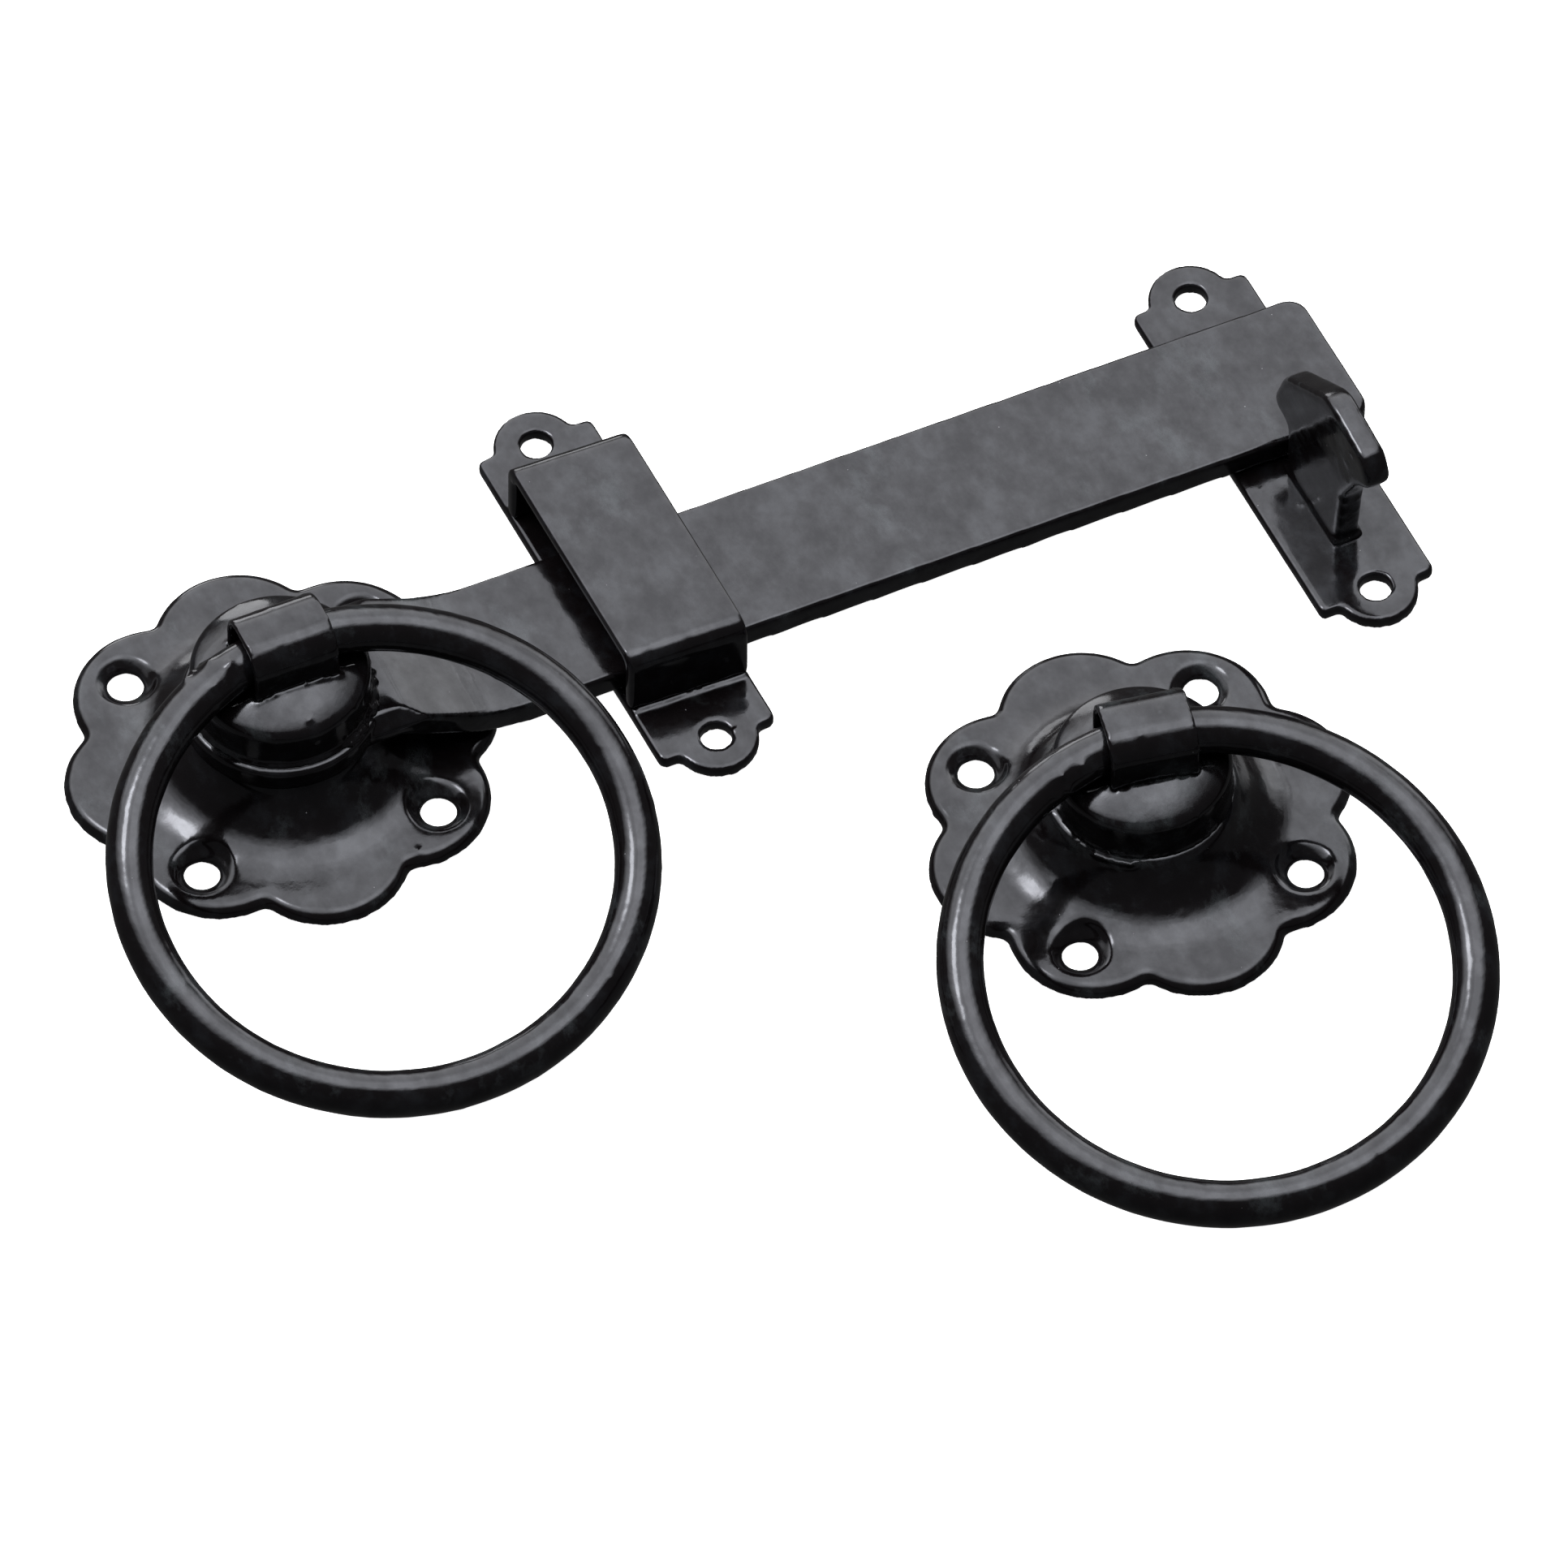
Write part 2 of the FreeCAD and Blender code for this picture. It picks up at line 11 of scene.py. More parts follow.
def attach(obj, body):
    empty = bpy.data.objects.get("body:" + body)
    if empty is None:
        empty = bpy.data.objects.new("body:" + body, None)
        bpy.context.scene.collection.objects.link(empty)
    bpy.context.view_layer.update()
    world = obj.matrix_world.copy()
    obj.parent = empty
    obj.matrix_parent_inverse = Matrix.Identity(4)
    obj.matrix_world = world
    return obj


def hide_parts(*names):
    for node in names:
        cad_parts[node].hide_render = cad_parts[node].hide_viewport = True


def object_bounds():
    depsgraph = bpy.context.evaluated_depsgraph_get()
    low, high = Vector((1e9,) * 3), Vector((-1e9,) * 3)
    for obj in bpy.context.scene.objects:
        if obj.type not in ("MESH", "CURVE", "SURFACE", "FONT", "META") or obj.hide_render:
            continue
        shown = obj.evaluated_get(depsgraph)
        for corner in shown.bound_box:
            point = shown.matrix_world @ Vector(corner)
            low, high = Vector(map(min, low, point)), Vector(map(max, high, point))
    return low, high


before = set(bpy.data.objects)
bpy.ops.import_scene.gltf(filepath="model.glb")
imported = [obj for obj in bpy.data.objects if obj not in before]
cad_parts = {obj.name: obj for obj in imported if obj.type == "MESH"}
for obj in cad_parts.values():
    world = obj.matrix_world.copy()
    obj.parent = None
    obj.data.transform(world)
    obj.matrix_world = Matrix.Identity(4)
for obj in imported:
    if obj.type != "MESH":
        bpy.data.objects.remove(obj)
cad_low, cad_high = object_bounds()

MM = 0.001

# camera: where it stands round the set and what it looks at
CAMERA_AZIMUTH = math.radians(-26.777)
CAMERA_ELEVATION = math.radians(53.2323)
CAMERA_ROLL = math.radians(0.4035)
CAMERA_DISTANCE = 4.3208
CAMERA_TARGET = Vector((0.074009, -0.044190, 0.0))
CAMERA_LENS = 580.24
CAMERA_REACH = 100
SENSOR_WIDTH = 36.0

# floor and light
FLOOR_DROP = 0.3 * MM
FLOOR_SIZE = 40.0
FLOOR_COLOUR = (0.9, 0.9, 0.9)
FLOOR_ROUGHNESS = 0.9
FLOOR_GLOW = 1.0
ROOM_LEVEL = 0.09
PANEL_DISTANCE = 1.6
DISC_SPACING = 0.01
# each softbox: azimuth, elevation and (half angle, radiance) of the discs that soften its edge
SOFTBOXES = {
    "main": (5, 64, ((41, 1.1), (46, 0.9), (51, 0.8))),
    "top": (90, 78, ((14, 0.8), (22, 0.6))),
    "hot": (-48, 62, ((8, 9.0), (11, 3.0), (16, 0.9))),
    "back": (10, 6, ((9, 3.0),)),
    "side": (60, 20, ((9, 1.2), (15, 1.2))),
}

# looks: each noise is its features per metre, detail, roughness and, where it has one, its stretch
# this mottle sets both the paint's uneven gloss and where its colour is lightened as painted sheen
GLOSS_MOTTLE = (190, 6, 0.66, (1.0, 0.7, 1.0))
# painted sheen: the noise of pale bluish patches laid over the colour
BLUE_SHEEN = (75, 7, 0.72, (1.0, 0.6, 1.0))
WEAR = (240, 4, 0.55)
PEEL = (900, 3, 0.5)
PITS = (3200, 2, 0.5)
METAL_GRAIN = (900, 4, 0.6)
DUST_CELLS = 210
DUST_RADIUS = 0.03
DUST_CORE = 0.5
COAT_COLOUR = (0.0030, 0.0023, 0.0026)
# painted sheen: a lighter colour laid in cloudy patches of the coat, where its gloss is higher
PAINTED_SHEEN_COLOUR = (0.009, 0.010, 0.012)
# painted sheen: pale bluish colour laid in patches, standing in for the paint's cool reflections
PAINTED_BLUE_SHEEN_COLOUR = (0.034, 0.039, 0.042)
DUST_COLOUR = (0.16, 0.16, 0.17)
SHEEN_TINT = (0.90, 0.92, 1.0)
COAT_IOR = 1.5
METAL_SHADE = 0.82
METAL_SPREAD = 0.06

# looks: the span of a noise that counts, and the gloss and roughness it is spread over
# painted sheen: span of the mottle that lightens the colour
PAINTED_SHEEN_SPAN = (0.5, 0.8)
# painted sheen: span of the noise that lays the pale bluish patches
BLUE_SHEEN_SPAN = (0.56, 0.78)
GLOSS_SPAN = (0.36, 0.66)
GRAIN_SPAN = (0.3, 0.7)
GLOSS = (0.40, 0.60)
ROUGHNESS = (0.08, 0.19)

# looks: depths of the finest relief
PEEL_DEPTH = 0.012 * MM
PIT_DEPTH = 0.003 * MM
METAL_GRAIN_DEPTH = 0.004 * MM

# coat: how the paint film is built over each CAD shape
VOXEL = 0.42 * MM
WELD_DISTANCE = 0.001 * MM
SMOOTH_FACTOR = 0.5
LUMP_SIZE = 6.0 * MM
GRAIN_SIZE = 1.4 * MM
GRAIN_SHARE = 0.2
CLOUD_DEPTH = 1
# each painted piece: body, depth of its lumps in mm, count of paint nibs, smoothing steps
COATS = {
    "rose_1": ("fixed", 0.10, 24, 20),
    "rose_2": ("fixed", 0.10, 24, 20),
    "guide_plate": ("fixed", 0.07, 24, 7),
    "guide_bridge": ("fixed", 0.08, 24, 20),
    "keep_plate": ("fixed", 0.08, 24, 7),
    "keep_hook": ("fixed", 0.10, 24, 20),
    "latch_bar": ("latch", 0.10, 60, 7),
    "handle_boss_1": ("latch", 0.06, 24, 4),
    "ring_strap_1": ("latch", 0.10, 14, 7),
    "ring_1": ("ring_1", 0.12, 90, 20),
    "handle_boss_2": ("handle_2", 0.06, 24, 7),
    "ring_strap_2": ("handle_2", 0.10, 14, 7),
    "ring_2": ("ring_2", 0.12, 60, 20),
}

# drops of paint: nibs lie anywhere above the backs, bubbles on a ring beside its strap
NIB_R = 0.30 * MM
NIB_REGION = ((-1000, -1000, 1.5), (1000, 1000, 1000))
DROP_SPREAD = (0.7, 1.3)
DROP_SUBDIVISIONS = 2
# each ring's bubbles: region (low, high) in mm, count, radius, seed
BUBBLES = {
    "1": (((-19, -9, 28), (-8, 6, 40)), 12, 0.62 * MM, 4),
    "2": (((105, -86, 23), (117, -68, 36)), 9, 0.58 * MM, 6),
}

# handles, in mm and degrees: the bosses, their crowns and the straps on them
HANDLES = ("1", "2")
BOSS = {"1": (0.0, 0.0), "2": (124.6, -79.2)}
BOSS_FOOT = {"1": 16.6, "2": 11.9}
BOSS_FOOT_R = 15.6
STRAP_TURN = {"1": -2.56, "2": -12.0}
STRAP_ENDS = (-7.35, 8.15)
STRAP_FLOOR = {"1": 25.3, "2": 20.6}
STRAP_MIDDLE = -0.6
STRAP_HALF_GAP = 5.2
STRAP_SHEET = 1.5
STRAP_ROOF = 11.7
STRAP_BEND = 5.0
BEND_STEPS = 16
CROWN_R = 30.0
CROWN_TOP = {"1": 28.67, "2": 23.97}

# how finely beads are drawn (degrees, mm, sides) and how many swells they have per metre
ARC_STEP = 2
LINE_STEP = 0.6
BEAD_SIDES = 3
BEAD_SWELLS = 900

# beads of paint and weld: each is its radius in mm, unevenness (0 is even) and seed
FOOT_BEAD = {"1": (0.55, 0.5, 3), "2": (0.32, 0.6, 3)}
# welds along a strap's legs: the leg's y before the strap is turned, and the bead
STRAP_WELDS = {"1": ((-7.4, (0.34, 0.7, 11)), (6.2, (0.34, 0.7, 12))), "2": ()}
# rough weld beside a boss: radius, rise above the foot, start and end in degrees, and the bead
ROUGH_WELDS = {
    "1": ((16.1, 0.1, -70, 60, (0.75, 1.1, 17)), (15.8, 0.9, -48, 44, (0.55, 1.3, 23))),
    "2": (),
}
# wrinkles in rose 2's paint: radius, start and sweep in degrees, and the bead
WRINKLE_Z = 11.75
WRINKLES = (
    (16.3, 202, 44, (0.32, 0.9, 1)),
    (17.0, 212, 26, (0.32, 0.9, 2)),
    (16.9, 150, 24, (0.32, 0.9, 5)),
)
# beads where the hook and the bridge stand on their plates, and the lines these follow
HOOK_BEAD = (0.85, 0.15, 9)
HOOK_FOOT = ((181.2, -41.6), (181.2, -22.8), (186.0, -22.8), (186.0, -41.6))
BRIDGE_BEAD = (0.5, 0.2, 7)
BRIDGE_FEET = (((56.8, -20.4), (78.1, -21.9)), ((56.8, 27.9), (78.1, 26.4)))
PLATE_TOP = 2.5


# ---------------------------------------------------------------- materials


def new_material(name):
    """A material with one Principled shader; returns the material, its node tree and the shader."""
    material = bpy.data.materials.new(name)
    material.use_nodes = True
    tree = material.node_tree
    tree.nodes.clear()
    output = tree.nodes.new("ShaderNodeOutputMaterial")
    shader = tree.nodes.new("ShaderNodeBsdfPrincipled")
    tree.links.new(shader.outputs["BSDF"], output.inputs["Surface"])
    return material, tree, shader


def noise_node(tree, scale, detail, roughness, stretch=None):
    """Noise in object space, at a scale in features per metre that a stretch changes by axis."""
    coordinates = tree.nodes.new("ShaderNodeTexCoord")
    source = coordinates.outputs["Object"]
    if stretch:
        mapping = tree.nodes.new("ShaderNodeMapping")
        mapping.inputs["Scale"].default_value = stretch
        tree.links.new(source, mapping.inputs["Vector"])
        source = mapping.outputs["Vector"]
    texture = tree.nodes.new("ShaderNodeTexNoise")
    texture.inputs["Scale"].default_value = scale
    texture.inputs["Detail"].default_value = detail
    texture.inputs["Roughness"].default_value = roughness
    tree.links.new(source, texture.inputs["Vector"])
    return texture.outputs["Fac"]


def map_range(tree, value, source, target=(0, 1)):
    """A value spread from its (low, high) span over another one."""
    node = tree.nodes.new("ShaderNodeMapRange")
    node.inputs["From Min"].default_value = source[0]
    node.inputs["From Max"].default_value = source[1]
    node.inputs["To Min"].default_value = target[0]
    node.inputs["To Max"].default_value = target[1]
    tree.links.new(value, node.inputs["Value"])
    return node.outputs["Result"]


def colour_between(tree, factor, first, second):
    """The first colour where factor is 0, the second where it is 1."""
    node = tree.nodes.new("ShaderNodeMix")
    node.data_type = "RGBA"
    node.inputs["A"].default_value = (*first, 1)
    node.inputs["B"].default_value = (*second, 1)
    tree.links.new(factor, node.inputs["Factor"])
    return node.outputs["Result"]


def colour_over(tree, factor, below, colour):
    """A colour laid over another socket's colour where factor is 1."""
    node = tree.nodes.new("ShaderNodeMix")
    node.data_type = "RGBA"
    node.inputs["B"].default_value = (*colour, 1)
    tree.links.new(below, node.inputs["A"])
    tree.links.new(factor, node.inputs["Factor"])
    return node.outputs["Result"]


def bump(tree, height, depth, normal=None):
    """A normal bent by relief of a given depth, on top of another normal if there is one."""
    node = tree.nodes.new("ShaderNodeBump")
    node.inputs["Distance"].default_value = depth
    node.inputs["Strength"].default_value = 1.0
    tree.links.new(height, node.inputs["Height"])
    if normal is not None:
        tree.links.new(normal, node.inputs["Normal"])
    return node.outputs["Normal"]


def specks(tree, scale, radius):
    """Dust: 1 in the core of small sparse dots, 0 outside them. The radius is a share of a cell."""
    coordinates = tree.nodes.new("ShaderNodeTexCoord")
    cells = tree.nodes.new("ShaderNodeTexVoronoi")
    cells.inputs["Scale"].default_value = scale
    tree.links.new(coordinates.outputs["Object"], cells.inputs["Vector"])
    return map_range(tree, cells.outputs["Distance"], (radius * DUST_CORE, radius), (1, 0))


def paint_material():
    """Thick glossy dip paint: near black with painted sheen in lighter and pale bluish patches of its
    colour, its gloss uneven, with fine orange peel and dust specks.
    """
    material, tree, shader = new_material("black_gloss_paint")
    gloss_mottle = noise_node(tree, *GLOSS_MOTTLE)
    # painted sheen: the colour turns lighter in cloudy patches where the gloss is higher
    base = colour_between(tree, map_range(tree, gloss_mottle, PAINTED_SHEEN_SPAN), COAT_COLOUR, PAINTED_SHEEN_COLOUR)
    # painted sheen: pale bluish patches laid over the colour
    blue_sheen = map_range(tree, noise_node(tree, *BLUE_SHEEN), BLUE_SHEEN_SPAN)
    with_blue_sheen = colour_over(tree, blue_sheen, base, PAINTED_BLUE_SHEEN_COLOUR)
    dusty = colour_over(tree, specks(tree, DUST_CELLS, DUST_RADIUS), with_blue_sheen, DUST_COLOUR)
    tree.links.new(dusty, shader.inputs["Base Color"])
    gloss = map_range(tree, gloss_mottle, GLOSS_SPAN, GLOSS)
    tree.links.new(gloss, shader.inputs["Specular IOR Level"])
    shader.inputs["Specular Tint"].default_value = (*SHEEN_TINT, 1)
    wear = noise_node(tree, *WEAR)
    tree.links.new(map_range(tree, wear, GRAIN_SPAN, ROUGHNESS), shader.inputs["Roughness"])
    peel = noise_node(tree, *PEEL)
    pits = noise_node(tree, *PITS)
    normal = bump(tree, peel, PEEL_DEPTH)
    normal = bump(tree, pits, PIT_DEPTH, normal)
    tree.links.new(normal, shader.inputs["Normal"])
    shader.inputs["IOR"].default_value = COAT_IOR
    return material


def metal_material(name, colour, roughness):
    """Bare metal with a fine grain in its colour, roughness and relief."""
    material, tree, shader = new_material(name)
    shader.inputs["Metallic"].default_value = 1.0
    grain = noise_node(tree, *METAL_GRAIN)
    tint = colour_between(tree, grain, [METAL_SHADE * part for part in colour], colour)
    tree.links.new(tint, shader.inputs["Base Color"])
    spread = (roughness - METAL_SPREAD, roughness + METAL_SPREAD)
    tree.links.new(map_range(tree, grain, GRAIN_SPAN, spread), shader.inputs["Roughness"])
    tree.links.new(bump(tree, grain, METAL_GRAIN_DEPTH), shader.inputs["Normal"])
    return material


# ---------------------------------------------------------------- shapes


def merged_copy(node):
    """A copy of a CAD node's mesh, its split corners merged."""
    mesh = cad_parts[node].data.copy()
    work = bmesh.new()
    work.from_mesh(mesh)
    bmesh.ops.remove_doubles(work, verts=work.verts, dist=WELD_DISTANCE)
    work.to_mesh(mesh)
    work.free()
    return mesh


def cloud(name, size):
    """A cloudy texture with features of a given size."""
    texture = bpy.data.textures.new(name, "CLOUDS")
    texture.noise_scale = size
    texture.noise_depth = CLOUD_DEPTH
    return texture


def add_displace(piece, texture, strength):
    """Moves a piece's surface in and out by a texture."""
    modifier = piece.modifiers.new("lumps", "DISPLACE")
    modifier.texture = texture
    modifier.texture_coords = "LOCAL"
    modifier.strength = strength
    modifier.mid_level = 0.5


def apply_modifiers(piece):
    """Replaces a piece's mesh with what its modifiers make of it."""
    bpy.context.view_layer.update()
    evaluated = piece.evaluated_get(bpy.context.evaluated_depsgraph_get())
    mesh = bpy.data.meshes.new_from_object(evaluated)
    piece.modifiers.clear()
    piece.data = mesh


def add_painted(node, extras=(), shape=None):
    """The painted piece for a CAD node: its shape, with extras fused in, under a thick uneven film."""
    body, depth, nibs, steps = COATS[node]
    lump = depth * MM
    piece = bpy.data.objects.new(f"painted_{node}", shape or merged_copy(node))
    bpy.context.scene.collection.objects.link(piece)
    dust = drops(piece.data, NIB_REGION, nibs, NIB_R, len(node))
    join(piece, [*extras, dust])
    remesh = piece.modifiers.new("film", "REMESH")
    remesh.mode = "VOXEL"
    remesh.voxel_size = VOXEL
    smooth = piece.modifiers.new("flow", "SMOOTH")
    smooth.factor = SMOOTH_FACTOR
    smooth.iterations = steps
    add_displace(piece, LUMPS, lump)
    add_displace(piece, GRAIN, GRAIN_SHARE * lump)
    apply_modifiers(piece)
    for polygon in piece.data.polygons:
        polygon.use_smooth = True
    piece.data.materials.clear()
    piece.data.materials.append(PAINT)
    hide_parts(node)
    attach(piece, body)


def join(piece, extras):
    """Adds the extras' meshes to the piece's."""
    work = bmesh.new()
    work.from_mesh(piece.data)
    for mesh in extras:
        work.from_mesh(mesh)
        bpy.data.meshes.remove(mesh)
    work.to_mesh(piece.data)
    work.free()


def drops(surface, region, count, radius, seed):
    """Drops of paint scattered on the part of a surface inside a region (low, high) in mm."""
    low, high = (Vector(corner) * MM for corner in region)
    draw = random.Random(seed)
    faces = []
    areas = []
    for face in surface.polygons:
        if all(low[k] <= face.center[k] <= high[k] for k in range(3)):
            faces.append(face)
            areas.append(face.area)
    work = bmesh.new()
    for face in draw.choices(faces, weights=areas, k=count):
        corners = [surface.vertices[index].co for index in face.vertices]
        shares = [draw.random() for _ in corners]
        place = Vector((0, 0, 0))
        for corner, share in zip(corners, shares):
            place += corner * (share / sum(shares))
        size = radius * draw.uniform(*DROP_SPREAD)
        bmesh.ops.create_icosphere(
            work, subdivisions=DROP_SUBDIVISIONS, radius=size, matrix=Matrix.Translation(place)
        )
    mesh = bpy.data.meshes.new("drops")
    work.to_mesh(mesh)
    work.free()
    return mesh


def bead(points, radius, rough, seed, closed=False):
    """A round bead along points, of a radius in mm, uneven like a weld or a run of paint."""
    curve = bpy.data.curves.new("bead", "CURVE")
    curve.dimensions = "3D"
    curve.bevel_depth = 1.0
    curve.bevel_resolution = BEAD_SIDES
    curve.use_fill_caps = True
    spline = curve.splines.new("POLY")
    spline.points.add(len(points) - 1)
    spline.use_cyclic_u = closed
    for index, point in enumerate(points):
        swell = noise.noise(Vector(point) * BEAD_SWELLS + Vector((seed, 0, 0)))
        spline.points[index].co = (*point, 1)
        spline.points[index].radius = radius * MM * (1 + rough * swell)
    holder = bpy.data.objects.new("bead", curve)
    bpy.context.scene.collection.objects.link(holder)
    bpy.context.view_layer.update()
    mesh = bpy.data.meshes.new_from_object(holder)
    bpy.data.objects.remove(holder)
    bpy.data.curves.remove(curve)
    return mesh


def arc(centre, radius, z, start, end):
    """Points in metres on a level arc given in mm, angles in degrees from +X."""
    count = round((end - start) / ARC_STEP)
    points = []
    for k in range(count + 1):
        angle = math.radians(start + (end - start) * k / count)
        x = centre[0] + radius * math.cos(angle)
        y = centre[1] + radius * math.sin(angle)
        points.append(Vector((x, y, z)) * MM)
    return points


def line(start, end, z):
    """Points in metres along a level line given in mm."""
    start = Vector((*start, z))
    end = Vector((*end, z))
    count = max(1, round((end - start).length / LINE_STEP))
    return [start.lerp(end, k / count) * MM for k in range(count + 1)]


def strap_weld(label, face_y, form):
    """Weld bead at the foot of one of a strap's legs, on the boss's crown."""
    centre = BOSS[label]
    turn = math.radians(STRAP_TURN[label])
    crown_centre = CROWN_TOP[label] - CROWN_R
    points = []
    for flat in line((STRAP_ENDS[0], face_y), (STRAP_ENDS[1], face_y), 0):
        x, y = flat.x / MM, flat.y / MM
        z = crown_centre + math.sqrt(CROWN_R**2 - x * x - y * y)
        across = centre[0] + x * math.cos(turn) - y * math.sin(turn)
        along = centre[1] + x * math.sin(turn) + y * math.cos(turn)
        points.append(Vector((across, along, z)) * MM)
    return bead(points, *form)


def boss_beads(label):
    """Beads on a boss: all round its foot, along its strap's legs and, roughly, beside it."""
    centre, foot = BOSS[label], BOSS_FOOT[label]
    circle = arc(centre, BOSS_FOOT_R, foot, 0, 360 - ARC_STEP)
    beads = [bead(circle, *FOOT_BEAD[label], closed=True)]
    for face_y, form in STRAP_WELDS[label]:
        beads.append(strap_weld(label, face_y, form))
    for radius, rise, start, end, form in ROUGH_WELDS[label]:
        beads.append(bead(arc(centre, radius, foot + rise, start, end), *form))
    return beads


def wrinkles():
    """Wrinkles in the paint on rose 2's dome."""
    return [
        bead(arc(BOSS["2"], radius, WRINKLE_Z, start, start + sweep), *form)
        for radius, start, sweep, form in WRINKLES
    ]


def bridge_beads():
    """Beads where the bridge's feet meet the guide's plate."""
    return [bead(line(*foot, PLATE_TOP), *BRIDGE_BEAD) for foot in BRIDGE_FEET]


def hook_bead():
    """Bead all round the hook's foot."""
    points = []
    for index, corner in enumerate(HOOK_FOOT):
        points += line(corner, HOOK_FOOT[(index + 1) % len(HOOK_FOOT)], PLATE_TOP)[:-1]
    return bead(points, *HOOK_BEAD, closed=True)


def arch(half, top, radius):
    """(y, z) points of an arch with two round bends, from one foot to the other."""
    left = []
    for k in range(BEND_STEPS + 1):
        angle = math.radians(90 * k / BEND_STEPS)
        left.append((radius - half - radius * math.cos(angle), top - radius + radius * math.sin(angle)))
    right = [(-y, z) for y, z in reversed(left)]
    return [(-half, 0), *left, *right, (half, 0)]


def strap_shape(label):
    """The folded strip over a ring, its bends drawn finely enough to shine smoothly."""
    outer = arch(STRAP_HALF_GAP + STRAP_SHEET, STRAP_ROOF, STRAP_BEND)
    inner = arch(STRAP_HALF_GAP, STRAP_ROOF - STRAP_SHEET, STRAP_BEND - STRAP_SHEET)
    turn = Matrix.Rotation(math.radians(STRAP_TURN[label]), 4, "Z")
    move = Matrix.Translation(Vector((*BOSS[label], STRAP_FLOOR[label])))
    count = len(outer)
    corners = []
    for x in STRAP_ENDS:
        for y, z in outer + inner:
            corners.append(move @ turn @ Vector((x, y + STRAP_MIDDLE, z)) * MM)
    far = 2 * count
    faces = []
    for k in range(count - 1):
        faces.append((k, k + 1, far + k + 1, far + k))
        faces.append((count + k + 1, count + k, far + count + k, far + count + k + 1))
        faces.append((k + 1, k, count + k, count + k + 1))
        faces.append((far + k, far + k + 1, far + count + k + 1, far + count + k))
    for k in (0, count - 1):
        faces.append((k, far + k, far + count + k, count + k))
    mesh = bpy.data.meshes.new("strap")
    mesh.from_pydata(corners, [], faces)
    work = bmesh.new()
    work.from_mesh(mesh)
    bmesh.ops.recalc_face_normals(work, faces=work.faces)
    work.to_mesh(mesh)
    work.free()
    return mesh


# ---------------------------------------------------------------- stage


def direction(azimuth, elevation):
    """Unit vector at an azimuth from +Y towards +X and an elevation, in degrees."""
    a = math.radians(azimuth)
    e = math.radians(elevation)
    return Vector((math.sin(a) * math.cos(e), math.cos(a) * math.cos(e), math.sin(e)))


def add_softbox(name, azimuth, elevation, discs):
    """A round light that faces the set, built of discs so that its edge is soft."""
    way = direction(azimuth, elevation)
    for index, (half_angle, radiance) in enumerate(discs):
        lamp = bpy.data.lights.new(f"{name}_{index}", "AREA")
        lamp.shape = "DISK"
        distance = PANEL_DISTANCE + DISC_SPACING * index
        radius = distance * math.tan(math.radians(half_angle))
        lamp.size = 2 * radius
        # the power of a flat lamp is pi times its radiance times its area
        lamp.energy = radiance * math.pi * math.pi * radius**2
        holder = bpy.data.objects.new(lamp.name, lamp)
        holder.location = CAMERA_TARGET + way * distance
        holder.rotation_mode = "QUATERNION"
        holder.rotation_quaternion = way.to_track_quat("Z", "Y")
        holder.visible_camera = False
        bpy.context.scene.collection.objects.link(holder)


def add_room():
    """Faint even light from all round."""
    world = bpy.data.worlds.new("room")
    world.use_nodes = True
    background = world.node_tree.nodes["Background"]
    background.inputs["Color"].default_value = (1, 1, 1, 1)
    background.inputs["Strength"].default_value = ROOM_LEVEL
    bpy.context.scene.world = world


def add_floor():
    """White ground under the set, which lights nothing itself."""
    half = FLOOR_SIZE / 2
    mesh = bpy.data.meshes.new("floor")
    corners = [(-half, -half, 0), (half, -half, 0), (half, half, 0), (-half, half, 0)]
    mesh.from_pydata(corners, [], [(0, 1, 2, 3)])
    floor = bpy.data.objects.new("floor", mesh)
    floor.location.z = cad_low.z - FLOOR_DROP
    bpy.context.scene.collection.objects.link(floor)
    material, _, shader = new_material("white_floor")
    shader.inputs["Base Color"].default_value = (*FLOOR_COLOUR, 1)
    shader.inputs["Roughness"].default_value = FLOOR_ROUGHNESS
    shader.inputs["Specular IOR Level"].default_value = 0.0
    shader.inputs["Emission Color"].default_value = (1, 1, 1, 1)
    shader.inputs["Emission Strength"].default_value = FLOOR_GLOW
    mesh.materials.append(material)
    floor.visible_glossy = False
    floor.visible_diffuse = False


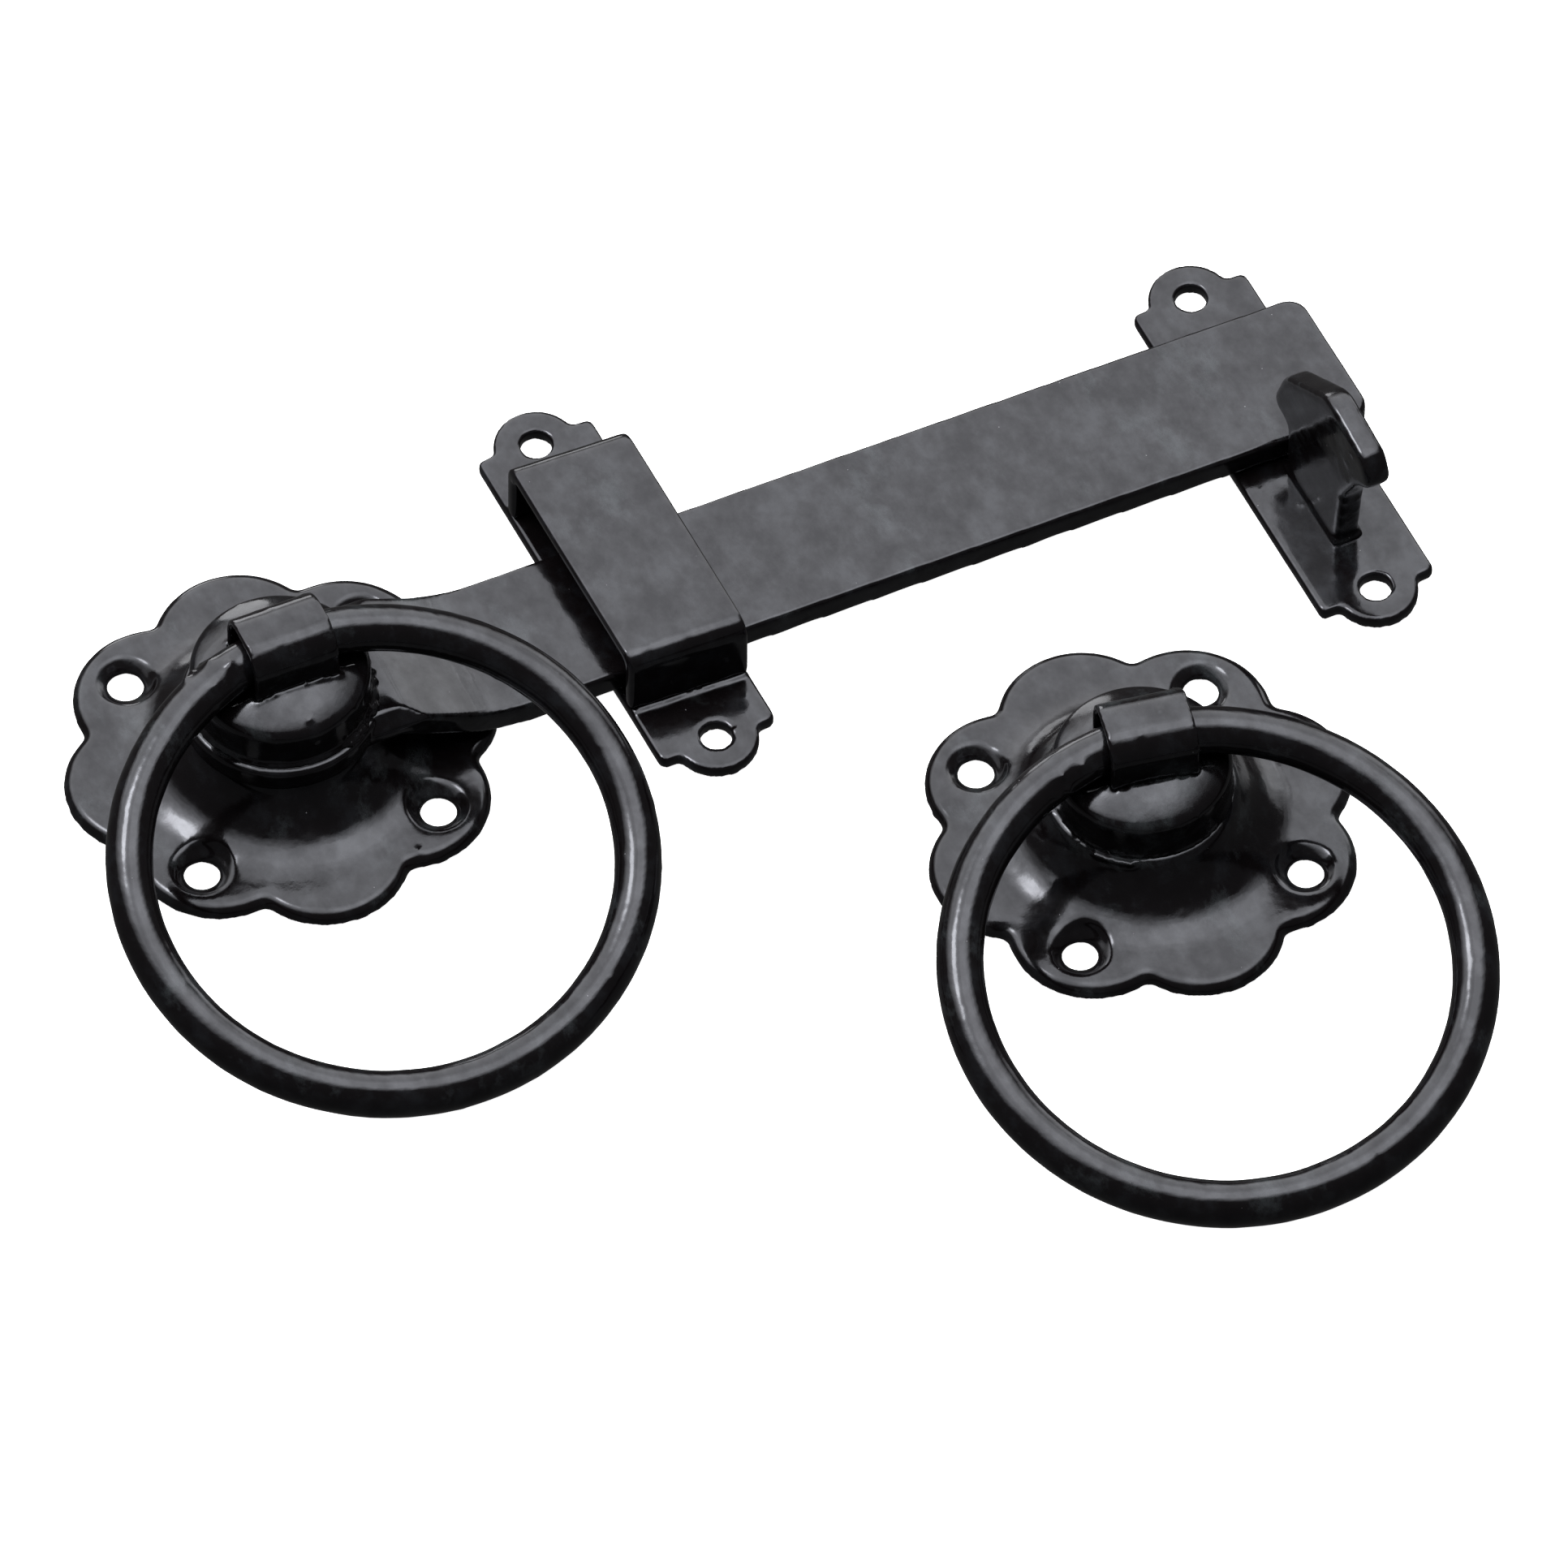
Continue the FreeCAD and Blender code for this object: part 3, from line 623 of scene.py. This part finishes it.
def add_camera():
    """The camera at the photograph's angle."""
    azimuth, elevation, roll = CAMERA_AZIMUTH, CAMERA_ELEVATION, CAMERA_ROLL
    back = Vector(
        (
            math.sin(azimuth) * math.cos(elevation),
            -math.cos(azimuth) * math.cos(elevation),
            math.sin(elevation),
        )
    )
    level = Vector((math.cos(azimuth), math.sin(azimuth), 0))
    upward = back.cross(level)
    right = math.cos(roll) * level + math.sin(roll) * upward
    up = math.cos(roll) * upward - math.sin(roll) * level
    camera = bpy.data.cameras.new("camera")
    camera.lens = CAMERA_LENS
    camera.sensor_width = SENSOR_WIDTH
    camera.clip_end = CAMERA_REACH
    holder = bpy.data.objects.new("camera", camera)
    place = CAMERA_TARGET + back * CAMERA_DISTANCE
    holder.matrix_world = Matrix(
        (
            (right.x, up.x, back.x, place.x),
            (right.y, up.y, back.y, place.y),
            (right.z, up.z, back.z, place.z),
            (0, 0, 0, 1),
        )
    )
    bpy.context.scene.collection.objects.link(holder)
    bpy.context.scene.camera = holder


# ---------------------------------------------------------------- the set

PAINT = paint_material()
ZINC = metal_material("zinc_steel", colour=(0.62, 0.63, 0.66), roughness=0.32)
SPRING = metal_material("spring_steel", colour=(0.20, 0.20, 0.22), roughness=0.38)
LUMPS = cloud("lumps", LUMP_SIZE)
GRAIN = cloud("grain", GRAIN_SIZE)

add_painted("rose_1")
add_painted("rose_2", wrinkles())
add_painted("guide_plate", bridge_beads())
add_painted("guide_bridge")
add_painted("keep_plate")
add_painted("keep_hook", [hook_bead()])
add_painted("latch_bar")
for label in HANDLES:
    add_painted(f"handle_boss_{label}", boss_beads(label))
    add_painted(f"ring_strap_{label}", shape=strap_shape(label))
    bubbles = drops(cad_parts[f"ring_{label}"].data, *BUBBLES[label])
    add_painted(f"ring_{label}", [bubbles])

for kind, metal in (("back_washer", ZINC), ("spring_clip", SPRING)):
    for label in HANDLES:
        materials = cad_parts[f"{kind}_{label}"].data.materials
        materials.clear()
        materials.append(metal)

add_room()
for name, (azimuth, elevation, discs) in SOFTBOXES.items():
    add_softbox(name, azimuth, elevation, discs)
add_floor()
add_camera()
bpy.context.scene.view_settings.view_transform = "Standard"
